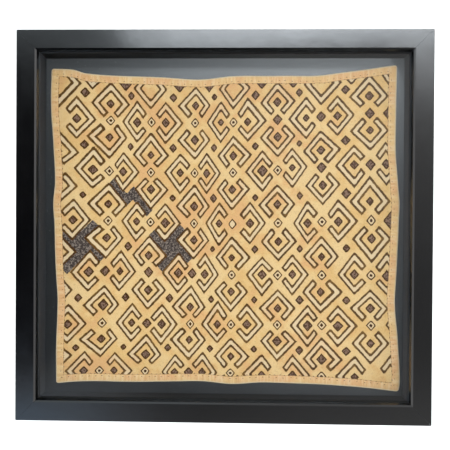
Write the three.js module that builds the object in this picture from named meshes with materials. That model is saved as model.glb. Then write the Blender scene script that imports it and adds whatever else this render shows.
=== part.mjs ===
// A square of raffia cloth, sewn flat to a black mount board and glazed in a deep black frame.
// Millimetres, +Z up. The front faces -Y and the back lies in the plane Y = 0.
// The origin is the centre of the board's back, where the frame meets a wall.
import * as THREE from 'three';

// Frame
const frameWidth = 711;
const frameHeight = 671;
const frameDepth = 46;
const railWidth = 34.5;
const rabbetWidth = 6;
const lipDepth = 12;
const sightBevel = 2.5;
const edgeRadius = 1.6;
const backRadius = 0.8;

// What the frame holds
const clearance = 0.3;
const paneThickness = 2;
const boardThickness = 4.7;
const spacerOverhang = 1;

// Cloth
const clothThickness = 1.8;
const hemThickness = 2.8;
const hemWidth = 14;
const hemStep = 2.2;
const rimThickness = 1.3;
const rimWidth = 1.8;
const columns = 32;
const rows = 29;

// Distances forward of the back, and inward of the frame's outer edge
const rabbetInset = railWidth - rabbetWidth;
const lipBack = frameDepth - lipDepth;
const boardFront = boardThickness;
const paneBack = lipBack - clearance - paneThickness;
const spacerBack = boardFront + clearance;
const spacerFront = paneBack - clearance;

// The cloth's four edges, left to right and bottom to top, as they lie on the board
const topEdge = [
  { x: -309.8, z: 281.5 }, { x: -270.9, z: 279.3 }, { x: -247, z: 272.5 },
  { x: -179.2, z: 268.1 }, { x: -109.5, z: 265.8 }, { x: -44.8, z: 261.7 },
  { x: 14.9, z: 267.6 }, { x: 99.6, z: 268.6 }, { x: 164.3, z: 269 }, { x: 211.1, z: 274.5 },
  { x: 258.9, z: 281 }, { x: 306.3, z: 287.6 },
];
const bottomEdge = [
  { x: -299.8, z: -284.5 }, { x: -250.9, z: -280.1 }, { x: -178.2, z: -280.3 },
  { x: -111.5, z: -279.3 }, { x: -39.8, z: -277.4 }, { x: 14.9, z: -281.7 },
  { x: 67.7, z: -278.7 }, { x: 138.4, z: -279.6 }, { x: 224.1, z: -283.2 },
  { x: 312.2, z: -291.6 },
];
const leftEdge = [
  { z: -284.5, x: -299.8 }, { z: -203.1, x: -299.5 }, { z: -134.4, x: -297.1 },
  { z: -87.6, x: -300.4 }, { z: 0, x: -303.8 }, { z: 39.8, x: -306.2 }, { z: 76.7, x: -303.1 },
  { z: 149.4, x: -306.4 }, { z: 207.1, x: -310.5 }, { z: 281.5, x: -309.8 },
];
const rightEdge = [
  { z: -291.6, x: 312.2 }, { z: -263.9, x: 315.6 }, { z: -196.2, x: 311.2 },
  { z: -128.5, x: 305.8 }, { z: -66.7, x: 308.8 }, { z: 10, x: 311.4 }, { z: 41.8, x: 312.6 },
  { z: 69.7, x: 309.8 }, { z: 137.4, x: 304.8 }, { z: 217.1, x: 305.4 }, { z: 287.6, x: 306.3 },
];

// Places where the cloth stands off the board
const swells = [
  { x: -262, z: 236, reach: 60, height: 1.3 },
  { x: -150, z: 120, reach: 95, height: 1.0 },
  { x: -215, z: -95, reach: 110, height: 1.4 },
  { x: 20, z: 205, reach: 85, height: 1.2 },
  { x: 65, z: -30, reach: 120, height: 1.1 },
  { x: 235, z: 95, reach: 90, height: 1.6 },
  { x: 210, z: -190, reach: 80, height: 1.5 },
  { x: -20, z: -215, reach: 70, height: 1.0 },
];
const ripple = { height: 0.9, pitch: 92, reach: 55 };

const lacquer = new THREE.MeshStandardMaterial({ color: 0x17181a, roughness: 0.32, metalness: 0 });
const glass = new THREE.MeshStandardMaterial({
  color: 0xeef2f2, roughness: 0.03, metalness: 0, transparent: true, opacity: 0.12,
});
const spacerBlack = new THREE.MeshStandardMaterial({ color: 0x1a1b1c, roughness: 0.7, metalness: 0 });
const boardBlack = new THREE.MeshStandardMaterial({ color: 0x1f2022, roughness: 0.85, metalness: 0 });
const raffia = new THREE.MeshStandardMaterial({ color: 0xcda66f, roughness: 0.8, metalness: 0 });

const group = new THREE.Group();

function addMesh(parent, name, geometry, material) {
  const mesh = new THREE.Mesh(geometry, material);
  mesh.name = name;
  parent.add(mesh);
  return mesh;
}

// The rail's section: x runs inward from the outer edge and y forward from the back.
function railSection() {
  const shape = new THREE.Shape();
  shape.moveTo(rabbetInset, 0);
  shape.lineTo(rabbetInset, lipBack);
  shape.lineTo(railWidth, lipBack);
  shape.lineTo(railWidth, frameDepth - sightBevel);
  shape.lineTo(railWidth - sightBevel, frameDepth);
  shape.lineTo(edgeRadius, frameDepth);
  shape.absarc(edgeRadius, frameDepth - edgeRadius, edgeRadius, Math.PI / 2, Math.PI, false);
  shape.lineTo(0, backRadius);
  shape.absarc(backRadius, backRadius, backRadius, Math.PI, 1.5 * Math.PI, false);
  shape.closePath();
  return shape;
}

function spacerSection() {
  const shape = new THREE.Shape();
  const inner = railWidth + spacerOverhang;
  shape.moveTo(rabbetInset + clearance, spacerBack);
  shape.lineTo(inner, spacerBack);
  shape.lineTo(inner, spacerFront);
  shape.lineTo(rabbetInset + clearance, spacerFront);
  shape.closePath();
  return shape;
}

// A section carried along one side of the frame and cut at 45 degrees at both ends,
// with half the clearance at each cut. It lies along X with its inner side towards +Z.
function mitredGeometry(section, length) {
  const endGap = clearance * Math.SQRT1_2;
  const options = { depth: length, steps: 1, bevelEnabled: false, curveSegments: 3 };
  const geometry = new THREE.ExtrudeGeometry(section, options);
  const position = geometry.attributes.position;
  for (let i = 0; i < position.count; i++) {
    const halfAtInset = length / 2 - position.getX(i) - endGap;
    position.setZ(i, position.getZ(i) > length / 2 ? halfAtInset : -halfAtInset);
  }
  const xAxis = new THREE.Vector3(0, 0, 1);
  const yAxis = new THREE.Vector3(0, -1, 0);
  const zAxis = new THREE.Vector3(1, 0, 0);
  geometry.applyMatrix4(new THREE.Matrix4().makeBasis(xAxis, yAxis, zAxis));
  return geometry;
}

const sides = [
  { name: 'bottom', quarterTurns: 0, length: frameWidth, outerEdge: frameHeight / 2 },
  { name: 'left', quarterTurns: 1, length: frameHeight, outerEdge: frameWidth / 2 },
  { name: 'top', quarterTurns: 2, length: frameWidth, outerEdge: frameHeight / 2 },
  { name: 'right', quarterTurns: 3, length: frameHeight, outerEdge: frameWidth / 2 },
];
for (const side of sides) {
  const sideGroup = new THREE.Group();
  sideGroup.rotation.y = side.quarterTurns * Math.PI / 2;
  const rail = mitredGeometry(railSection(), side.length);
  const spacer = mitredGeometry(spacerSection(), side.length);
  addMesh(sideGroup, `rail_${side.name}`, rail, lacquer).position.z = -side.outerEdge;
  addMesh(sideGroup, `spacer_${side.name}`, spacer, spacerBlack).position.z = -side.outerEdge;
  group.add(sideGroup);
}

// The pane and the board fill the rabbet, one behind the lip and one level with the back.
const rabbetFit = 2 * (rabbetInset + clearance);
const sheetWidth = frameWidth - rabbetFit;
const sheetHeight = frameHeight - rabbetFit;
const paneGeometry = new THREE.BoxGeometry(sheetWidth, paneThickness, sheetHeight);
const boardGeometry = new THREE.BoxGeometry(sheetWidth, boardThickness, sheetHeight);
addMesh(group, 'glazing_pane', paneGeometry, glass).position.y = -(paneBack + paneThickness / 2);
addMesh(group, 'mount_board', boardGeometry, boardBlack).position.y = -boardThickness / 2;

// A smooth line through an edge's points, read at any place along it
function edgeReader(points, along, across) {
  const tangents = points.map((point, i) => {
    const before = points[Math.max(i - 1, 0)];
    const after = points[Math.min(i + 1, points.length - 1)];
    return (after[across] - before[across]) / (after[along] - before[along]);
  });
  return (place) => {
    let i = 0;
    while (i < points.length - 2 && place > points[i + 1][along]) i++;
    const span = points[i + 1][along] - points[i][along];
    const t = THREE.MathUtils.clamp((place - points[i][along]) / span, 0, 1);
    const start = (1 + 2 * t) * (1 - t) ** 2 * points[i][across];
    const end = t * t * (3 - 2 * t) * points[i + 1][across];
    const leaving = t * (1 - t) ** 2 * span * tangents[i];
    const arriving = t * t * (t - 1) * span * tangents[i + 1];
    return start + end + leaving + arriving;
  };
}

const topAt = edgeReader(topEdge, 'x', 'z');
const bottomAt = edgeReader(bottomEdge, 'x', 'z');
const leftAt = edgeReader(leftEdge, 'z', 'x');
const rightAt = edgeReader(rightEdge, 'z', 'x');

// Fractions across the cloth, close together over each hem and even between them
function gridFractions(count, size) {
  const hem = [0, rimWidth, hemWidth - hemStep / 2, hemWidth + hemStep / 2].map((d) => d / size);
  const first = hem[hem.length - 1];
  const middle = [];
  for (let i = 1; i < count; i++) middle.push(THREE.MathUtils.lerp(first, 1 - first, i / count));
  return [...hem, ...middle, ...hem.map((d) => 1 - d).reverse()];
}

function placeOnBoard(s, t) {
  const level = THREE.MathUtils.lerp(bottomEdge[0].z, topEdge[0].z, t);
  const x = THREE.MathUtils.lerp(leftAt(level), rightAt(level), s);
  const z = THREE.MathUtils.lerp(bottomAt(x), topAt(x), t);
  return { x, z };
}

// How far the cloth's back stands off the board: broad swells, and a ripple along the edges
function standOff(x, z, inset) {
  let height = 0;
  for (const swell of swells) {
    const distance = Math.hypot(x - swell.x, z - swell.z) / swell.reach;
    height += swell.height * Math.exp(-distance * distance);
  }
  const wave = 0.5 + 0.5 * Math.sin(2 * Math.PI * (x + z) / ripple.pitch);
  return height + ripple.height * wave * Math.exp(-inset / ripple.reach);
}

function thicknessAt(inset) {
  const rim = THREE.MathUtils.smoothstep(inset, 0, rimWidth);
  const body = THREE.MathUtils.smoothstep(inset, hemWidth - hemStep / 2, hemWidth + hemStep / 2);
  const hem = THREE.MathUtils.lerp(rimThickness, hemThickness, rim);
  return THREE.MathUtils.lerp(hem, clothThickness, body);
}

// One closed sheet: a grid of front points, the same grid of back points and a strip round the rim
function clothGeometry() {
  const clothWidth = rightEdge[0].x - leftEdge[0].x;
  const clothHeight = topEdge[0].z - bottomEdge[0].z;
  const across = gridFractions(columns, clothWidth);
  const up = gridFractions(rows, clothHeight);
  const front = [];
  const back = [];
  for (const t of up) {
    for (const s of across) {
      const { x, z } = placeOnBoard(s, t);
      const inset = Math.min(s * clothWidth, (1 - s) * clothWidth, t * clothHeight, (1 - t) * clothHeight);
      const rear = boardFront + clearance + standOff(x, z, inset);
      front.push(x, -(rear + thicknessAt(inset)), z);
      back.push(x, -rear, z);
    }
  }
  const stride = across.length;
  const offset = stride * up.length;
  const index = [];
  for (let j = 0; j < up.length - 1; j++) {
    for (let i = 0; i < stride - 1; i++) {
      const a = j * stride + i;
      const b = a + 1;
      const c = a + stride + 1;
      const d = a + stride;
      index.push(a, b, c, a, c, d);
      index.push(a + offset, c + offset, b + offset, a + offset, d + offset, c + offset);
    }
  }
  const rim = [];
  for (let i = 0; i < stride - 1; i++) rim.push(i);
  for (let j = 0; j < up.length - 1; j++) rim.push(j * stride + stride - 1);
  for (let i = stride - 1; i > 0; i--) rim.push((up.length - 1) * stride + i);
  for (let j = up.length - 1; j > 0; j--) rim.push(j * stride);
  rim.forEach((from, k) => {
    const to = rim[(k + 1) % rim.length];
    index.push(from, from + offset, to + offset, from, to + offset, to);
  });
  const geometry = new THREE.BufferGeometry();
  geometry.setAttribute('position', new THREE.Float32BufferAttribute([...front, ...back], 3));
  geometry.setIndex(index);
  geometry.computeVertexNormals();
  return geometry;
}
addMesh(group, 'kuba_cloth', clothGeometry(), raffia);

export default group;
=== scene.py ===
# A raffia cloth of interlaced lozenges, sewn to a black board in a deep glazed frame.
# Metres, +Z up, the glazed front towards -Y. The frame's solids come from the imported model.
import math

import bpy
import numpy as np
from mathutils import Matrix, Vector


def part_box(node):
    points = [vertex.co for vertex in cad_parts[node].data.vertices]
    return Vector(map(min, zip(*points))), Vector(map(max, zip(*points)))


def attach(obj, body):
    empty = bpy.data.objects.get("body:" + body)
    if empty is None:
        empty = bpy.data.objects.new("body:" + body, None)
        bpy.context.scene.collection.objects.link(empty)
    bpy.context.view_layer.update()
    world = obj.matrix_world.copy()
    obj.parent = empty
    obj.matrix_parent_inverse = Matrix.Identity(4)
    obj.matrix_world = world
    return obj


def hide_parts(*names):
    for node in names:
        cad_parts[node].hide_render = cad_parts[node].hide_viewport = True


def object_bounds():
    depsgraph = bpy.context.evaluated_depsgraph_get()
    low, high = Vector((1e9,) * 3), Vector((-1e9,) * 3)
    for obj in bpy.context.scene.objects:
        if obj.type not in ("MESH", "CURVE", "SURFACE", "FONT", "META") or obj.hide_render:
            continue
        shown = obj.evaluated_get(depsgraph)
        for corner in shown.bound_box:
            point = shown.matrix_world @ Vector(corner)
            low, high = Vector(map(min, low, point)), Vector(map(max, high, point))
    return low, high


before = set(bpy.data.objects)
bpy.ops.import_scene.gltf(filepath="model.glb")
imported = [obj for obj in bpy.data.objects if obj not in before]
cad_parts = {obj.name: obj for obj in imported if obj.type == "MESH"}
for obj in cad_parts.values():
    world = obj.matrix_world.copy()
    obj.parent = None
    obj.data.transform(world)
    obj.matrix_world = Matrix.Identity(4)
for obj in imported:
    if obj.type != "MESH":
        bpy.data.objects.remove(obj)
cadLow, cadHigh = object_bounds()
mm = 0.001

# The photographer's place, nearly level with the middle of the frame
cameraPlace = {"standOff": 0.816, "aside": 0.018, "above": 0.007,
               "yaw": -1.05, "pitch": 0.31, "roll": 0.35, "lens": 36.25, "sensor": 36}


def makeCamera(place):
    # the three small turns of the view, applied pitch first, then roll, then yaw
    turns = (Matrix.Rotation(math.radians(place["yaw"]), 3, "Z")
             @ Matrix.Rotation(math.radians(place["roll"]), 3, "Y")
             @ Matrix.Rotation(math.radians(place["pitch"]), 3, "X"))
    right, forward, up = turns.row
    data = bpy.data.cameras.new("camera")
    data.lens, data.sensor_width = place["lens"], place["sensor"]
    camera = bpy.data.objects.new("camera", data)
    axes = Matrix((right, up, -forward)).transposed().to_4x4()
    spot = Vector((place["aside"], -place["standOff"], place["above"]))
    camera.matrix_world = Matrix.Translation(spot) @ axes
    bpy.context.collection.objects.link(camera)
    bpy.context.scene.camera = camera


makeCamera(cameraPlace)
print("camera placed")


class Wave:
    # a shader socket that Python's operators join to Math nodes
    def __init__(self, paint, socket):
        self.paint, self.socket = paint, socket

    def maths(self, operation, *others):
        sockets = dict(enumerate((self,) + others))
        return self.paint.node("ShaderNodeMath", {"operation": operation}, sockets)

    def __add__(self, other):
        return self.maths("ADD", other)

    def __sub__(self, other):
        return self.maths("SUBTRACT", other)

    def __mul__(self, other):
        return self.maths("MULTIPLY", other)

    def __abs__(self):
        return self.maths("ABSOLUTE")

    # a number less the wave: the wave times minus one, plus the number
    def __rsub__(self, other):
        return self.maths("MULTIPLY_ADD", -1.0, other)

    __radd__ = __add__
    __rmul__ = __mul__


class Paint:
    # the nodes of a material, or of the world, with the tones and the readings that they go by
    def __init__(self, owner, tones=None, clouds=None, main="Principled BSDF"):
        owner.use_nodes = True
        self.owner, self.tree = owner, owner.node_tree
        self.main = self.tree.nodes[main]
        self.tones = dict(tones or {})
        self.readings = {name: self.cloud(*shape) for name, shape in (clouds or {}).items()}

    def plug(self, node, sockets):
        for key, value in sockets.items():
            if isinstance(value, Wave):
                self.tree.links.new(value.socket, node.inputs[key])
            else:
                node.inputs[key].default_value = value

    # the main node's sockets: a number or a colour is the same all over, and a wave varies
    def feed(self, sockets):
        self.plug(self.main, sockets)

    # any node: its kind, its settings, the values or links of its sockets, and which output to read
    def node(self, kind, settings=None, sockets=None, output=0):
        made = self.tree.nodes.new(kind)
        for key, value in (settings or {}).items():
            setattr(made, key, value)
        self.plug(made, sockets or {})
        return Wave(self, made.outputs[output])

    def attribute(self, name):
        return self.node("ShaderNodeAttribute", {"attribute_name": name}, output="Fac")

    def place(self):
        return self.node("ShaderNodeTexCoord", output="Object")

    def axis(self, vector, name):
        return self.node("ShaderNodeSeparateXYZ", sockets={0: vector}, output=name)

    # cloudy values about a half, with lumps of the given size in metres, drawn out by stretch
    def cloud(self, size, detail=2.0, rough=0.55, shift=0.0, stretch=(1, 1, 1)):
        where = self.node("ShaderNodeMapping", sockets={
            "Vector": self.place(), "Location": (shift, shift, shift),
            "Scale": tuple(1 / (size * each) for each in stretch)})
        return self.node("ShaderNodeTexNoise", {"noise_dimensions": "3D"}, {
            "Vector": where, "Scale": 1.0, "Detail": detail, "Roughness": rough})

    # a smooth ramp from low to high as the reading passes from start to end
    def ramp(self, reading, start, end, low=0.0, high=1.0):
        return self.node("ShaderNodeMapRange", {"interpolation_type": "SMOOTHSTEP"}, {
            "Value": reading, "From Min": start, "From Max": end, "To Min": low, "To Max": high})

    def mix(self, amount, first, second):
        return self.node("ShaderNodeMix", {"data_type": "RGBA"}, {0: amount, 6: first, 7: second}, 2)

    # tones laid over a first one: each comes in, by its amount, as its reading passes from start to end
    def layers(self, first, *others):
        colour = self.tones[first]
        for name, reading, start, end, amount in others:
            share = self.ramp(self.readings[reading], start, end, high=amount)
            colour = self.mix(share, colour, self.tones[name])
        return colour

    def bump(self, height, distance, strength=1.0, normal=None):
        sockets = {"Height": height, "Distance": distance, "Strength": strength}
        if normal is not None:
            sockets["Normal"] = normal
        return self.node("ShaderNodeBump", sockets=sockets)


def newPaint(name, tones=None, clouds=None):
    return Paint(bpy.data.materials.new(name), tones, clouds)


# one colour and one roughness all over
def plainPaint(name, colour, roughness):
    paint = newPaint(name)
    paint.feed({"Base Color": colour, "Roughness": roughness})
    return paint.owner


# a colour given in the eight-bit values of a screen, as the linear values that a shader takes
def tone(red, green, blue):
    screen = np.array([red, green, blue]) / 255
    linear = np.where(screen > 0.04045, ((screen + 0.055) / 1.055) ** 2.4, screen / 12.92)
    return (*(float(each) for each in linear), 1.0)


# quads between neighbours of a grid of rows and columns whose points are numbered row by row
def gridQuads(rowCount, columnCount, first=0, flipped=False):
    corner = (np.arange(rowCount - 1)[:, None] * columnCount + np.arange(columnCount - 1)) + first
    quads = np.stack([corner, corner + 1, corner + columnCount + 1, corner + columnCount], -1)
    return quads.reshape(-1, 4)[:, ::-1] if flipped else quads.reshape(-1, 4)


def makeMesh(name, points, quads, smooth=True):
    mesh = bpy.data.meshes.new(name)
    mesh.vertices.add(len(points))
    mesh.vertices.foreach_set("co", np.ascontiguousarray(points, np.float32).ravel())
    mesh.loops.add(quads.size)
    mesh.loops.foreach_set("vertex_index", np.ascontiguousarray(quads, np.int32).ravel())
    mesh.polygons.add(len(quads))
    mesh.polygons.foreach_set("loop_start", np.arange(0, quads.size, quads.shape[1], dtype=np.int32))
    mesh.update(calc_edges=True)
    mesh.validate()
    mesh.polygons.foreach_set("use_smooth", np.full(len(quads), smooth))
    piece = bpy.data.objects.new(name, mesh)
    bpy.context.collection.objects.link(piece)
    return piece


# The cloth's four edges on the board, in millimetres from its middle
clothEdges = {
    "top": ((-309.8, 281.5), (-270.9, 279.3), (-247, 272.5), (-179.2, 268.1), (-109.5, 265.8),
            (-44.8, 261.7), (14.9, 267.6), (99.6, 268.6), (164.3, 269), (211.1, 274.5),
            (258.9, 281), (306.3, 287.6)),
    "bottom": ((-299.8, -284.5), (-250.9, -280.1), (-178.2, -280.3), (-111.5, -279.3),
               (-39.8, -277.4), (14.9, -281.7), (67.7, -278.7), (138.4, -279.6), (224.1, -283.2),
               (312.2, -291.6)),
    "left": ((-284.5, -299.8), (-203.1, -299.5), (-134.4, -297.1), (-87.6, -300.4), (0, -303.8),
             (39.8, -306.2), (76.7, -303.1), (149.4, -306.4), (207.1, -310.5), (281.5, -309.8)),
    "right": ((-291.6, 312.2), (-263.9, 315.6), (-196.2, 311.2), (-128.5, 305.8), (-66.7, 308.8),
              (10, 311.4), (41.8, 312.6), (69.7, 309.8), (137.4, 304.8), (217.1, 305.4),
              (287.6, 306.3)),
}
# Places where the cloth stands off the board: their middles, reach and height, in millimetres
clothSwells = ((-262, 236, 60, 1.3), (-150, 120, 95, 1.0), (-215, -95, 110, 1.4), (20, 205, 85, 1.2),
               (65, -30, 120, 1.1), (235, 95, 90, 1.6), (210, -190, 80, 1.5), (-20, -215, 70, 1.0))
# The cloth's sizes in millimetres
cloth = {"body": 1.8, "hem": 2.8, "hemWidth": 14, "hemStep": 2.2, "rim": 1.3, "rimWidth": 1.8,
         "offBoard": 0.3, "cornerRadius": 5, "rippleHeight": 0.9, "ripplePitch": 92, "rippleReach": 55,
         "step": 2.85, "rimSteps": (0, 0.5, 1.2, 2.2, 3.6), "bodyFade": 3,
         "tackPitch": 12, "tackInset": 10, "tackDip": 0.5, "tackReach": 2.5,
         "lineDip": 0.3, "linePlace": 3.5, "lineReach": 1.5}
boardFront = -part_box("mount_board")[0].y / mm


# a smooth line through an edge's points: on each stretch a cubic that leaves and arrives at the
# slope between the points on either side
def readEdge(points, along):
    place, value = np.array(points, float).T
    before, after = np.r_[0, :len(place) - 1], np.r_[1:len(place), len(place) - 1]
    slope = (value[after] - value[before]) / (place[after] - place[before])
    i = np.clip(np.searchsorted(place, along) - 1, 0, len(place) - 2)
    span = place[i + 1] - place[i]
    t = np.clip((along - place[i]) / span, 0, 1)
    return ((1 + 2 * t) * (1 - t) ** 2 * value[i] + t * t * (3 - 2 * t) * value[i + 1]
            + t * (1 - t) ** 2 * span * slope[i] + t * t * (t - 1) * span * slope[i + 1])


def smoothStep(reading, start, end):
    t = np.clip((reading - start) / (end - start), 0, 1)
    return t * t * (3 - 2 * t)


# where the fractions s across and t up the cloth lie on the board
def placeOnBoard(s, t):
    low, high = clothEdges["bottom"][0][1], clothEdges["top"][0][1]
    level = low + (high - low) * t
    left, right = readEdge(clothEdges["left"], level), readEdge(clothEdges["right"], level)
    # near a corner the square patch of points is drawn in to a quarter disc
    r = cloth["cornerRadius"]
    across, up = (right - left) * np.minimum(s, 1 - s), (high - low) * np.minimum(t, 1 - t)
    p, q = np.clip((r - across) / r, 0, 1), np.clip((r - up) / r, 0, 1)
    x = left + (right - left) * s + np.sign(0.5 - s) * r * p * (1 - np.sqrt(1 - q * q / 2))
    bottom, top = readEdge(clothEdges["bottom"], x), readEdge(clothEdges["top"], x)
    return x, bottom + (top - bottom) * t + np.sign(0.5 - t) * r * q * (1 - np.sqrt(1 - p * p / 2))


# how far the cloth's back is off the board: broad swells, and a ripple that fades from the edges
def standOff(x, z, inset):
    height = sum(rise * np.exp(-((x - cx) ** 2 + (z - cz) ** 2) / reach ** 2)
                 for cx, cz, reach, rise in clothSwells)
    wave = 0.5 + 0.5 * np.sin(2 * np.pi * (x + z) / cloth["ripplePitch"])
    return height + cloth["rippleHeight"] * wave * np.exp(-inset / cloth["rippleReach"])


# from the edge inwards: a thin rim, the turned-in hem, and the single cloth
def thicknessAt(inset):
    hem = cloth["rim"] + (cloth["hem"] - cloth["rim"]) * smoothStep(inset, 0, cloth["rimWidth"])
    half = cloth["hemStep"] / 2
    body = smoothStep(inset, cloth["hemWidth"] - half, cloth["hemWidth"] + half)
    return hem + (cloth["body"] - hem) * body


# The pattern's cells: a column's places at three heights and a row's at five places across.
# Cells alternate between a pair of hooked lozenges one above the other and a pair side by side.
lattice = {
    "heights": (-258.9, 5, 189.2),
    "columns": ((-310.7, -221.1, -138.4, -60.7, 13.9, 97.6, 176.3, 263.9, 344.5),
                (-301.7, -206.1, -130.4, -51.8, 15.9, 97.6, 175.3, 262.9, 343.6),
                (-294.8, -202.1, -129.5, -50.8, 16.9, 95.6, 172.3, 258.9, 339.6)),
    "firstColumn": -1,
    "acrosses": (-290, -202.1, -83, 16.9, 259.9),
    "rows": ((294, 191, 104, 9.5, -84, -178.5, -263.5, -350),
             (279.8, 188.2, 97.6, 9, -80.7, -174.3, -259.9, -348.5),
             (274.5, 183.5, 94.3, 5.5, -83.8, -174.8, -261, -348.5),
             (276.8, 185.2, 95.6, 4, -86.6, -175.3, -261.9, -348.5),
             (291.8, 202.1, 111.5, 11.9, -85.6, -174.3, -267.9, -353.5)),
    "firstRow": -1,
}
# Sizes in cells, but for the sewn lines and the cell itself, which are in millimetres
motif = {"upright": 0.34, "sideways": 0.33, "size": 0.316, "squeeze": 0.91, "arm": 0.0, "reach": 0.6,
         "cellSize": 55.7, "cream": 2.4, "line": 3.3, "gem": 0.099, "cornerGem": 0.086,
         "middleGem": 0.112, "wander": 0.009, "swing": 0.03, "lean": 0.05, "gemSwing": 0.09,
         "cornerSwing": 0.1, "seed": 11}
# Cells whose middle lozenge is solid, those that have none, and those with no dot, by column and row
solidMiddles = {(4, 0), (5, 0), (6, 0), (5, 1), (6, 1), (0, 3), (1, 3), (2, 3), (1, 4), (2, 5)}
bareMiddles = {(4, 5), (6, 5)}
blankEyes = {(3, 2)}
# Lozenges that lie off their places, by column, row and side, and those that hold no small one. A
# lozenge of row -1 is beyond the top hem.
offPlace = {(6, -1, 1): (0.09, -0.02), (6, 5, 1): (0.10, 0.0), (3, 2, 1): (0.06, 0.02),
            (1, 2, 1): (0.03, -0.01), (-1, 3, 1): (0.02, 0.055)}
emptyRings = {(6, 5, 1)}
# Tips that the hems leave of lozenges beyond them, by the lozenge's middle and half its width
darkTips = ((0.36, 1.0, 0.42), (1.64, 1.0, 0.40), (2.36, 1.0, 0.41), (3.64, 1.0, 0.39),
            (4.36, 1.0, 0.41), (6.70, 0.0, 0.42), (6.66, -2.0, 0.40))
paleTips = ((-0.36, 1.0, 0.44), (5.62, 1.0, 0.42))
# Patches of black pile where the ground bands cross: by their middle, how far each arm runs
darkPatches = {
    (-0.5, -2.5): {"upRight": 0.72, "downLeft": 0.78, "upLeft": 0.62, "downRight": 0.70},
    (1.5, -2.5): {"upRight": 0.66, "downLeft": 0.68, "upLeft": 0.76, "downRight": 0.68},
    (0.5, -1.5): {"upRight": 0.0, "downLeft": 0.0, "upLeft": 0.76, "downRight": 0.80},
}
patchBand = {"shift": 0.16, "half": 0.145, "heart": 0.30, "neck": 0.13}


# the cell coordinates of points on the cloth: each is a sum of ramps between neighbouring stations,
# whose own places are read between the lists
def cellPlace(x, z):
    def stations(lists, at, along):
        return [np.interp(along, at, places) for places in zip(*lists)]

    def count(stops, along):
        ramps = [np.clip((along - a) / (b - a), 0, 1) for a, b in zip(stops, stops[1:])]
        beyond = (along - stops[-1]) / (stops[-1] - stops[-2])
        before = (along - stops[0]) / (stops[1] - stops[0])
        return sum(ramps) + np.maximum(beyond, 0) + np.minimum(before, 0)

    u = lattice["firstColumn"] + count(stations(lattice["columns"], lattice["heights"], z), x)
    v = -lattice["firstRow"] - count(stations(lattice["rows"], lattice["acrosses"], x), z)
    return u, v


# distance to an open square ring, measured to the nearest of its four sides along their own
# directions, so that corners are sharp and the ends of the two arms are cut square
def ringDistance(du, dv, size, arm):
    p, q = du + dv, du - dv

    def side(across, along, low, high):
        return np.maximum(np.abs(across), np.maximum(low - along, np.maximum(along - high, 0)))

    arms = np.minimum(side(p + size, q, -size, arm), side(q - size, p, -arm, size))
    sides = np.minimum(side(q + size, p, -size, size), side(p - size, q, -size, size))
    return np.minimum(arms, sides)


# distance to a patch: its heart, and bars beside the middle like the blades of a pinwheel
def patchDistance(p, q, arms):
    shift, half, heart, neck = (patchBand[key] for key in ("shift", "half", "heart", "neck"))
    near, far = shift - half, shift + half
    bars = [(-heart, heart, -neck, neck), (-far, -near, -arms["upLeft"], neck),
            (near, far, -neck, arms["downRight"])]
    if arms["upRight"]:
        bars += [(-neck, arms["upRight"], -far, -near), (-arms["downLeft"], neck, near, far),
                 (-neck, neck, -heart, heart)]
    return np.minimum.reduce([np.maximum.reduce([pLow - p, p - pHigh, qLow - q, q - qHigh])
                              for pLow, pHigh, qLow, qHigh in bars])


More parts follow.
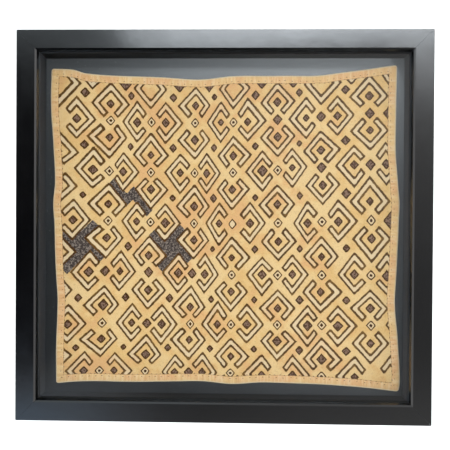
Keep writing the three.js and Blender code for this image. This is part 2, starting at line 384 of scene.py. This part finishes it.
# every distance that the pattern needs, at each point of the cloth, in millimetres
def patternFields(x, z):
    u, v = cellPlace(x, z)
    random = np.random.default_rng(motif["seed"])
    ring, gem, eye, pupil, patch, tip = np.ones((6, *u.shape))
    firstRow, firstColumn = lattice["firstRow"], lattice["firstColumn"]
    cells = [(column, row) for row in range(firstRow, firstRow + len(lattice["rows"][0]))
             for column in range(firstColumn, firstColumn + len(lattice["columns"][0]))]

    def lozenge(cu, cv):
        return np.abs(u - cu) + np.abs(v - cv)

    for column, row in cells:
        upright = (column + row) % 2 == 0
        for way in (1, -1):
            wanderU, wanderV = random.normal(0, motif["wander"], 2)
            swing = 1 + random.normal(0, motif["swing"])
            armSwing = random.normal(0, motif["swing"])
            cu = column + wanderU + (0 if upright else way * motif["sideways"])
            cv = -row + wanderV + (way * motif["upright"] if upright else 0)
            if (column, row, way) in offPlace:
                cu, cv = cu + offPlace[column, row, way][0], cv + offPlace[column, row, way][1]
            elif row < 0 and (not upright or way == 1):
                continue
            near = (np.abs(u - cu) < motif["reach"]) & (np.abs(v - cv) < motif["reach"])
            du, dv = (u[near] - cu) / swing, (v[near] - cv) / swing
            lean = random.normal(0, motif["lean"], 2)
            du, dv = du / (1 + lean[0] * np.sign(du)), dv / (1 + lean[1] * np.sign(dv))
            if not upright:
                du = du / motif["squeeze"]
            # turned so that the opening is at the bottom
            turned = (du, way * dv) if upright else (dv, way * du)
            found = ringDistance(*turned, motif["size"], motif["arm"] + armSwing)
            ring[near] = np.minimum(ring[near], found)
            if row >= 0 and (column, row, way) not in emptyRings:
                size = motif["gem"] * (1 + random.normal(0, motif["gemSwing"]))
                gem = np.minimum(gem, lozenge(cu, cv) - size)
        if (column, row) in solidMiddles:
            gem = np.minimum(gem, lozenge(column, -row) - motif["middleGem"])
        elif row >= 0 and column >= 0 and (column, row) not in bareMiddles:
            eye = np.minimum(eye, lozenge(column, -row))
            if (column, row) not in blankEyes:
                pupil = np.minimum(pupil, lozenge(column, -row))
        corner = (column + 0.5, -row - 0.5)
        if corner not in darkPatches:
            size = motif["cornerGem"] * (1 + random.normal(0, motif["cornerSwing"]))
            gem = np.minimum(gem, lozenge(*corner) - size)
    for cu, cv, size in darkTips:
        gem = np.minimum(gem, lozenge(cu, cv) - size)
    for cu, cv, size in paleTips:
        tip = np.minimum(tip, lozenge(cu, cv) - size)
    for (cu, cv), arms in darkPatches.items():
        patch = np.minimum(patch, patchDistance((u + v) - (cu + cv), (u - v) - (cu - cv), arms))
    fields = {"ring": ring, "gem": gem, "eye": eye, "pupil": pupil, "patch": patch, "tip": tip}
    return {name: field * motif["cellSize"] for name, field in fields.items()}


# a closed sheet over a grid of fractions s and t: the front follows the board's face, the cloth's
# stand-off and its thickness, less a dip along each sewn line and at each tack, and the back follows
# the stand-off
def makeCloth():
    width = clothEdges["right"][0][1] - clothEdges["left"][0][1]
    height = clothEdges["top"][0][1] - clothEdges["bottom"][0][1]

    def fractions(size):
        rim = np.array(cloth["rimSteps"]) / size
        middle = np.linspace(rim[-1], 1 - rim[-1], int(size / cloth["step"]))
        return np.r_[rim[:-1], middle, 1 - rim[:-1][::-1]]

    s, t = np.meshgrid(fractions(width), fractions(height))
    x, z = placeOnBoard(s, t)
    fromSide, fromEnd = np.minimum(s, 1 - s) * width, np.minimum(t, 1 - t) * height
    inset, upright = np.minimum(fromSide, fromEnd), fromSide < fromEnd
    fields = patternFields(x, z)
    rear = boardFront + cloth["offBoard"] + standOff(x, z, inset)
    onBody = smoothStep(inset, cloth["hemWidth"], cloth["hemWidth"] + cloth["bodyFade"])
    onLine = np.exp(-((fields["ring"] - cloth["linePlace"]) / cloth["lineReach"]) ** 2)
    tack = 0.5 + 0.5 * np.cos(2 * np.pi * np.where(upright, z, x) / cloth["tackPitch"])
    onTack = tack ** 3 * np.exp(-((inset - cloth["tackInset"]) / cloth["tackReach"]) ** 2)
    front = rear + thicknessAt(inset) - cloth["lineDip"] * onLine * onBody - cloth["tackDip"] * onTack
    points = np.concatenate([np.stack([x, -front, z], -1).reshape(-1, 3),
                             np.stack([x, -rear, z], -1).reshape(-1, 3)]) * mm
    rowCount, columnCount = s.shape
    back = rowCount * columnCount
    number = np.arange(back).reshape(rowCount, columnCount)
    rim = np.r_[number[0, :-1], number[:-1, -1], number[-1, :0:-1], number[:0:-1, 0]]
    following = np.roll(rim, -1)
    quads = np.concatenate([gridQuads(rowCount, columnCount),
                            gridQuads(rowCount, columnCount, back, flipped=True),
                            np.stack([rim, rim + back, following + back, following], -1)])
    piece = makeMesh("kuba_raffia", points, quads)
    for name, values in (*fields.items(), ("inset", inset), ("upright", upright)):
        layer = piece.data.attributes.new(name, "FLOAT", "POINT")
        layer.data.foreach_set("value", np.tile(values.ravel(), 2).astype(np.float32))
    return piece, (width * mm, height * mm)


raffiaTones = {
    "gold": tone(203, 165, 109), "paleGold": tone(210, 178, 130), "rosyGold": tone(203, 156, 109),
    "cream": tone(205, 182, 150), "line": tone(61, 32, 1), "faded": tone(110, 76, 32),
    "gem": tone(74, 50, 36), "gemWorn": tone(131, 105, 91), "black": tone(56, 47, 45),
    "blackWorn": tone(150, 136, 127), "hem": tone(209, 172, 122), "hemRosy": tone(207, 161, 115),
    "hemPale": tone(227, 211, 181), "hemShade": tone(138, 101, 60),
}
# Clouds, here and below: size in metres, detail, roughness, shift and stretch
raffiaClouds = {
    "waver": (0.007, 3, 0.6), "lineWaver": (0.03, 2, 0.55, 2.3), "hemWaver": (0.02, 2),
    "grain": (0.0042, 3, 0.75), "fibre": (0.004, 2, 0.6, 0.3, (1, 1, 0.35)),
    "broad": (0.045, 3, 0.6, 0.7), "warmth": (0.16, 1, 0.5, 1.9), "worn": (0.003, 3, 0.7, 5.3),
    "fading": (0.022, 2, 0.55, 3.1), "mottle": (0.0034, 1, 0.5, 4.1),
    "level": (0.0035, 2, 0.6, 0, (7, 1, 1)), "plumb": (0.0035, 2, 0.6, 0, (1, 1, 7)),
}
# What each surface of the cloth is: a tone, then tones laid over it, each with the reading that brings
# it in, the values that it does so between, and the amount
raffiaLayers = {
    "ground": ("gold", ("paleGold", "broad", 0.38, 0.62, 1), ("rosyGold", "rosy", 0.50, 0.38, 0.85),
               ("faded", "grain", 0.50, 0.72, 0.22), ("paleGold", "fibre", 0.5, 0.7, 0.3)),
    "blackPile": ("black", ("blackWorn", "worn", 0.44, 0.66, 0.75)),
    "thread": ("line", ("faded", "fibre", 0.45, 0.7, 0.6), ("faded", "fading", 0.5, 0.62, 0.55)),
    "gemPile": ("gem", ("gemWorn", "mottle", 0.42, 0.56, 0.8)),
    "creamThread": ("cream", ("paleGold", "fibre", 0.35, 0.65, 0.3)),
    "creamBand": ("creamThread", ("rosyGold", "rosy", 0.50, 0.38, 0.4)),
    # the hem's last layer, paler near the cloth's edge by its inset, is a painted highlight along that
    # edge
    "hemCloth": ("hem", ("hemRosy", "broad", 0.4, 0.6, 1), ("hemPale", "threads", 0.45, 0.7, 0.3),
                 ("hemShade", "threads", 0.48, 0.3, 0.16), ("hemPale", "inset", 3.8, 0.6, 0.8)),
}
# The shapes from the ground up: a reading, the edge in millimetres that it is below, half that edge's
# softness, how much the shape covers, and its colour
raffiaShapes = (
    ("patch", 0.0, 0.5, 1, "blackPile"), ("tip", 0.0, 0.5, 1, "thread"), ("tip", -2.8, 0.5, 1, "cream"),
    ("ringLine", motif["cream"] + motif["line"], 0.5, 0.96, "thread"),
    ("ring", motif["cream"], 0.5, 1, "creamBand"), ("gem", 0.3, 0.5, 1, "gemRim"),
    ("gem", -1.7, 0.6, 1, "gemPile"), ("eye", 6.2, 0.4, 1, "thread"),
    ("eye", 4.3, 0.4, 1, "creamThread"), ("pupil", 2.4, 0.4, 1, "line"),
    # the dark line along the hem's inner edge is painted shade at the hem's step
    ("hemEdge", cloth["hemWidth"], 0.4, 1, "hemCloth"), ("hemLine", 0.4, 0.5, 0.55, "hemShade"),
)
# How far the shapes' edges waver, in millimetres, and shares of mixes
raffiaWaver = {"ring": 2.4, "tip": 2.4, "gem": 1.68, "eye": 1.2, "pupil": 1.2, "patch": 2.88}
raffiaMixes = {"lineWaver": 1.6, "hemWaver": 2.0, "broad": 0.6, "warmth": 0.4, "gemRim": 0.6}


def raffiaPaint():
    paint = newPaint("raffia", raffiaTones, raffiaClouds)
    tones, readings, mixes = paint.tones, paint.readings, raffiaMixes
    for name, reach in raffiaWaver.items():
        readings[name] = paint.attribute(name) + (readings["waver"] - 0.5) * reach
    readings["ringLine"] = readings["ring"] - (readings["lineWaver"] - 0.5) * mixes["lineWaver"]
    readings["rosy"] = readings["broad"] * mixes["broad"] + readings["warmth"] * mixes["warmth"]
    readings["inset"] = paint.attribute("inset")
    readings["hemEdge"] = readings["inset"] + (readings["hemWaver"] - 0.5) * mixes["hemWaver"]
    readings["hemLine"] = abs(readings["hemEdge"] - cloth["hemWidth"])
    # the hem's threads run across it
    change = readings["level"] - readings["plumb"]
    readings["threads"] = readings["plumb"] + paint.attribute("upright") * change
    for name, rows in raffiaLayers.items():
        tones[name] = paint.layers(*rows)
    tones["gemRim"] = paint.mix(mixes["gemRim"], tones["thread"], tones["line"])
    colour = tones["ground"]
    for reading, edge, soft, amount, name in raffiaShapes:
        share = paint.ramp(readings[reading], edge - soft, edge + soft, low=amount, high=0.0)
        colour = paint.mix(share, colour, tones[name])
    pile = paint.bump(readings["grain"], distance=0.0006)
    paint.feed({"Base Color": colour,
                "Roughness": paint.ramp(readings["grain"], 0.3, 0.7, low=0.7, high=0.88),
                "Normal": paint.bump(readings["fibre"], distance=0.0004, normal=pile),
                "Specular IOR Level": 0.08, "Sheen Weight": 0.05, "Sheen Roughness": 0.5})
    return paint.owner


clothPiece, clothSize = makeCloth()
clothPiece.data.materials.append(raffiaPaint())
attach(clothPiece, "root")
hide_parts("kuba_cloth")
print("cloth sewn", len(clothPiece.data.polygons), "faces")


# Stitches that tack the hem, in rows of a pitch and an inset: each a short half loop of thread, six
# points around and a few steps long, in millimetres
tacks = {"rows": ((cloth["tackPitch"], cloth["tackInset"]), (8.5, 14.4)), "length": 3.0,
         "thread": 0.5, "thinEnd": 0.35, "rise": 0.5, "sunk": 0.15, "around": 6, "steps": 5,
         "fromCorner": 12, "stray": 0.8, "lean": 0.25, "seed": 5}
tackTones = {"dark": tone(66, 42, 26), "pale": tone(108, 74, 48)}
tackClouds = {"twist": (0.0006, 2), "wear": (0.03,)}


# where the stitches are: x, z, whether the edge is upright, and the inset
def tackPlaces(random):
    places = []
    for pitch, inset in tacks["rows"]:
        for name, sign in (("left", 1), ("right", -1), ("bottom", 1), ("top", -1)):
            points = clothEdges[name]
            start, end = points[0][0] + tacks["fromCorner"], points[-1][0] - tacks["fromCorner"]
            along = np.arange(start, end, pitch)
            along = along + random.normal(0, tacks["stray"], len(along))
            stray = random.normal(0, tacks["stray"] / 2, len(along))
            across = readEdge(points, along) + sign * (inset + stray)
            upright = name in ("left", "right")
            x, z = (across, along) if upright else (along, across)
            places.append(np.stack([x, z, np.full(len(x), float(upright)), np.full(len(x), inset)], -1))
    return np.concatenate(places)


def makeTacks():
    # along a stitch the thread's middle is an arch, and its section a circle
    random = np.random.default_rng(tacks["seed"])
    places = tackPlaces(random)
    lean = places[:, 2] * np.pi / 2 + random.normal(0, tacks["lean"], len(places))
    inset = places[:, 3]
    surface = boardFront + cloth["offBoard"] + standOff(places[:, 0], places[:, 1], inset)
    surface = surface + thicknessAt(inset) - cloth["tackDip"] * (inset == cloth["tackInset"])
    steps, around = tacks["steps"], tacks["around"]
    half = np.linspace(0, np.pi, steps)[:, None]
    turn = np.linspace(0, 2 * np.pi, around, endpoint=False)
    radius = tacks["thread"] * (tacks["thinEnd"] + (1 - tacks["thinEnd"]) * np.sin(half))
    forward = -np.cos(half) * tacks["length"] / 2 + 0 * turn
    sideways = radius * np.cos(turn)
    outward = np.sin(half) * tacks["rise"] - tacks["sunk"] + radius * np.sin(turn)
    cosine, sine = np.cos(lean)[:, None, None], np.sin(lean)[:, None, None]
    x = places[:, 0, None, None] + forward * cosine - sideways * sine
    z = places[:, 1, None, None] + forward * sine + sideways * cosine
    y = -(surface[:, None, None] + outward)
    points = np.stack([x, y, z], -1)
    # one stitch's quads: a grid whose last column is its first again, and two quads over each end
    one = gridQuads(steps, around + 1)
    one = (one // (around + 1)) * around + (one % (around + 1)) % around
    caps = [[0, 1, 2, 3], [0, 3, 4, 5]]
    last = (steps - 1) * around
    ends = np.array([row[::-1] for row in caps] + [[last + each for each in row] for row in caps])
    one = np.concatenate([one[:, ::-1], ends])
    offsets = np.arange(len(places))[:, None, None] * steps * around
    return makeMesh("tack_stitches", points.reshape(-1, 3) * mm, (one + offsets).reshape(-1, 4))


def threadPaint():
    paint = newPaint("tack_thread", tackTones, tackClouds)
    paint.feed({"Base Color": paint.layers("dark", ("pale", "wear", 0.35, 0.65, 1)),
                "Roughness": 0.7, "Normal": paint.bump(paint.readings["twist"], distance=0.0002)})
    return paint.owner


tackPiece = makeTacks()
tackPiece.data.materials.append(threadPaint())
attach(tackPiece, "root")
print("hem tacked")


# Finishes of the frame's own solids
# the pale mitre tone is a painted highlight along the joints
lacquerTones = {"black": tone(2, 2, 3), "speck": tone(30, 30, 32), "mitre": tone(80, 82, 86)}
lacquerClouds = {"broad": (0.06, 3, 0.6), "speck": (0.0035, 2, 0.5),
                 "grain": (0.0016, 2, 0.6, 0.4, (18, 1, 18))}


def lacquerPaint():
    paint = newPaint("satin_black_lacquer", lacquerTones, lacquerClouds)
    x, z = (paint.axis(paint.place(), name) for name in "XZ")
    # how far from the nearest mitre, in metres
    paint.readings["mitre"] = abs(abs(x) - abs(z) - (cadHigh.x - cadHigh.z))
    # painted highlight: a pale line along each mitre joint, where its edges catch the light
    colour = paint.layers("black", ("speck", "speck", 0.66, 0.75, 0.3),
                          ("mitre", "mitre", 0.0006, 0.0001, 0.3))
    waves = paint.bump(paint.readings["broad"], distance=0.0004, strength=0.5)
    paint.feed({"Base Color": colour, "Specular IOR Level": 0.5,
                "Roughness": paint.ramp(paint.readings["broad"], 0.3, 0.7, low=0.16, high=0.21),
                "Normal": paint.bump(paint.readings["grain"], distance=0.00004, normal=waves)})
    return paint.owner


# One spacer finish painted in two tones: painted shade for the top and bottom spacers, painted light for
# the side ones, as if the light came from the sides
spacerTones = {
    "spacer_painted_shade": {"dark": tone(20, 20, 21), "light": tone(26, 26, 28)},
    "spacer_painted_lit": {"dark": tone(48, 49, 53), "light": tone(58, 59, 63)},
}
spacerClouds = {"fibre": (0.002, 3, 0.6)}


def spacerPaint(name):
    paint = newPaint(name, spacerTones[name], spacerClouds)
    paint.feed({"Base Color": paint.layers("dark", ("light", "fibre", 0.35, 0.65, 1)),
                "Roughness": 0.75, "Specular IOR Level": 0.1,
                "Normal": paint.bump(paint.readings["fibre"], distance=0.00004)})
    return paint.owner


# The board's colour is painted paler towards the right: painted light, standing in for the brighter
# reflection on that side
boardTones = {"left": tone(27, 29, 32), "right": tone(56, 58, 62), "cloud": tone(44, 46, 51),
              "speck": tone(88, 88, 90)}
boardClouds = {"fibre": (0.0012, 3, 0.65), "broad": (0.09, 2), "speck": (0.004, 1, 0.5, 0.9)}


def boardPaint():
    paint = newPaint("black_mount_board", boardTones, boardClouds)
    paint.readings["x"] = paint.axis(paint.place(), "X")
    # painted light: the board's tone grows paler from left to right
    colour = paint.layers("left", ("right", "x", -0.33, 0.33, 1), ("cloud", "broad", 0.35, 0.65, 0.3),
                          ("speck", "speck", 0.70, 0.76, 0.5))
    paint.feed({"Base Color": colour, "Specular IOR Level": 0.6,
                "Roughness": paint.ramp(paint.readings["fibre"], 0.3, 0.7, low=0.34, high=0.42),
                "Normal": paint.bump(paint.readings["fibre"], distance=0.00003)})
    return paint.owner


glass = {"clear": (0.97, 0.98, 0.975, 1), "bending": 1.45, "shine": 1.24}


def glassPaint():
    # clear but for what the pane mirrors, which grows towards a grazing view: the face that the light
    # meets first mirrors for both
    paint = newPaint("clear_glass")
    paint.feed({"Base Color": (1, 1, 1, 1), "Metallic": 1.0, "Roughness": 0.0})
    clear = paint.node("ShaderNodeBsdfTransparent", sockets={"Color": glass["clear"]})
    mirror = paint.node("ShaderNodeFresnel", sockets={"IOR": glass["bending"]})
    mirror = mirror * (1 - paint.node("ShaderNodeNewGeometry", output="Backfacing"))
    both = paint.node("ShaderNodeMixShader", sockets={
        0: mirror * glass["shine"], 1: clear, 2: Wave(paint, paint.main.outputs[0])})
    paint.plug(paint.tree.nodes["Material Output"], {"Surface": both})
    return paint.owner


# Glue that fills the mitres, a little inside the rails' faces
glue = {"thick": 0.2 * mm, "inside": 1.2 * mm, "tone": tone(12, 12, 12), "roughness": 0.6}


def makeGlue():
    # one thin box on each corner's diagonal, from the rails' outer edges to their inner ones
    half, inside = glue["thick"] / 2 / math.sqrt(2), glue["inside"]
    railLow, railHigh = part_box("rail_left")
    long = railHigh.x - railLow.x - 2 * inside
    sides = [-1, 1]
    points, quads = [], []
    for signX in sides:
        for signZ in sides:
            outer = np.array([signX * (cadHigh.x - inside), signZ * (cadHigh.z - inside)])
            inner = outer - long * np.array([signX, signZ])
            across = half * np.array([signX, -signZ])
            ring = [outer + across, outer - across, inner - across, inner + across]
            first = len(points)
            points += [(x, y, z) for y in (cadLow.y + inside, cadHigh.y - inside) for x, z in ring]
            order = [(0, 1, 2, 3), (7, 6, 5, 4)]
            order += [(4 + i, 4 + (i + 1) % 4, (i + 1) % 4, i) for i in range(4)]
            if signX != signZ:
                order = [face[::-1] for face in order]
            quads += [[first + each for each in face] for face in order]
    return makeMesh("mitre_glue", np.array(points), np.array(quads), smooth=False)


gluePiece = makeGlue()
gluePiece.data.materials.append(plainPaint("dark_glue", glue["tone"], glue["roughness"]))
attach(gluePiece, "root")

# the top and bottom spacers take the painted shade, the side ones the painted light
spacerPaintedShade, spacerPaintedLit = (spacerPaint(name) for name in spacerTones)
finishes = {"rail": lacquerPaint(), "spacer_top": spacerPaintedShade, "spacer_bottom": spacerPaintedShade,
            "spacer": spacerPaintedLit, "mount": boardPaint(), "glazing": glassPaint()}
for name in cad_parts:
    kind = name if name in finishes else name.split("_")[0]
    if kind in finishes:
        bpy.data.objects[name].material_slots[0].material = finishes[kind]
print("frame finished")

# The room: a floor that curves up into a backdrop, soft lights and a graded surround
studio = {"floor": cadLow.z - 0.4, "near": -6.0, "back": 2.4, "curve": 0.7, "curveSteps": 25,
          "top": 3.6, "side": 5.0, "white": (0.86, 0.86, 0.86, 1), "roughness": 0.9}


def makeStudio():
    # the profile is a straight floor, a quarter circle and a straight wall, carried along X
    turn = np.linspace(0, np.pi / 2, studio["curveSteps"])
    y = np.r_[studio["near"], studio["back"] - studio["curve"] + studio["curve"] * np.sin(turn),
              studio["back"]]
    z = np.r_[0, studio["curve"] * (1 - np.cos(turn)), studio["top"]] + studio["floor"]
    x = np.array([-studio["side"], studio["side"]])
    points = np.stack(np.broadcast_arrays(x[None, :], y[:, None], z[:, None]), -1).reshape(-1, 3)
    piece = makeMesh("studio_floor", points, gridQuads(len(y), 2))
    piece.data.materials.append(plainPaint("studio_white", studio["white"], studio["roughness"]))
    piece.visible_glossy = False


# Windows are seen in the finishes of the rails, spacers and board alone, and the rails cast no shadow
# of them on the board. The other lights shine and aren't mirrored.
lights = (
    {"name": "window", "at": (0.42, -2.0, 1.54), "to": (0.0, 0, 0.1), "size": (2.4, 0.8), "power": 23,
     "colour": (0.87, 0.94, 1.0), "spread": 75, "window": True},
    {"name": "side_window", "at": (1.36, -2.0, 1.013), "to": (1.36, 0, 1.013), "size": (0.7, 0.4),
     "power": 2.8, "colour": (0.92, 0.96, 1.0), "window": True},
    {"name": "left_fill", "at": (-0.95, -2.3, 0.6), "to": (0, 0, 0), "size": (0.9, 0.9), "power": 5.8,
     "colour": (1.0, 0.97, 0.93)},
    {"name": "right_fill", "at": (0.95, -2.3, -0.1), "to": (0, 0, 0), "size": (0.9, 0.9), "power": 14.8,
     "colour": (1.0, 0.97, 0.93)},
    {"name": "backdrop_wash", "at": (0, 0.6, 2.3), "to": (0, 2.4, 0.2), "size": (3.0, 0.8), "power": 60,
     "colour": (1, 1, 1)},
)


def makeLight(name, at, to, size, power, colour, spread=180, window=False):
    data = bpy.data.lights.new(name, "AREA")
    data.shape, data.size, data.size_y, data.energy = "RECTANGLE", *size, power
    data.spread, data.color = math.radians(spread), colour
    lamp = bpy.data.objects.new(name, data)
    lamp.location = at
    lamp.rotation_euler = (Vector(to) - Vector(at)).to_track_quat("-Z", "Y").to_euler()
    lamp.visible_camera = False
    lamp.visible_glossy = window
    lamp.visible_diffuse = not window
    bpy.context.collection.objects.link(lamp)
    if window:
        blockers = bpy.data.collections.new(name + "_blockers")
        blockers.objects.link(clothPiece)
        lamp.light_linking.blocker_collection = blockers
        receivers = bpy.data.collections.new(name + "_receivers")
        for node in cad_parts:
            if node.split("_")[0] in ("rail", "spacer", "mount"):
                receivers.objects.link(bpy.data.objects[node])
        lamp.light_linking.receiver_collection = receivers


# Brightness of the room behind the viewer, by direction: a low level, and glows of a strength that come
# in as the direction's X and Z pass between two values. The lower ones stop short of straight down.
surround = {"low": 0.02, "seen": 1.05, "muted": 0.3, "bluish": (0.78, 0.92, 1, 1), "bluishShare": 0.8,
            "blue": (0.5, 0.72, 1, 1)}
glows = {
    "right": (0.5, ("X", -0.2, 0.45)),
    "farRight": (1.2, ("X", 0.4, 0.9)),
    "farLeft": (2.0, ("X", -0.5, -0.9)),
    "upRight": (0.85, ("Z", -0.15, 0.4), ("X", -0.35, 0.15)),
    "topLeft": (1.6, ("Z", 0.30, 0.37), ("X", 0.15, -0.25)),
    "below": (0.75, ("Z", -0.24, -0.50), ("Z", -0.85, -0.65)),
    "lowLeft": (2.7, ("X", -0.10, -0.42), ("X", -0.75, -0.60), ("Z", -0.26, -0.42), ("Z", -0.85, -0.65)),
}


def makeSurround():
    world = bpy.data.worlds.new("surround")
    bpy.context.scene.world = world
    paint = Paint(world, main="Background")
    way = paint.node("ShaderNodeTexCoord", output="Generated")
    along = {axis: paint.axis(way, axis) for axis in "XZ"}
    shapes = {name: math.prod(paint.ramp(along[axis], start, end) for axis, start, end in ramps)
              for name, (strength, *ramps) in glows.items()}
    bright = {name: shape * glows[name][0] for name, shape in shapes.items()}
    topLeft = bright.pop("topLeft")
    # the pane alone mirrors sharply: it shows these glows muted, and the one at the top left not at all
    sharp = paint.node("ShaderNodeLightPath", output="Is Singular Ray")
    glow = (surround["low"] + sum(bright.values())) * (1 - sharp * surround["muted"])
    glow = glow + topLeft * (1 - sharp)
    seen = paint.node("ShaderNodeLightPath", output="Is Camera Ray")
    glow = glow * (1 - seen) + seen * surround["seen"]
    tint = paint.mix(shapes["topLeft"] * surround["bluishShare"], (1, 1, 1, 1), surround["bluish"])
    tint = paint.mix(shapes["lowLeft"] * (1 - seen), tint, surround["blue"])
    paint.feed({"Strength": glow, "Color": tint})


makeStudio()
for light in lights:
    makeLight(**light)
makeSurround()
bpy.context.scene.view_settings.view_transform = "Standard"
print("studio lit")
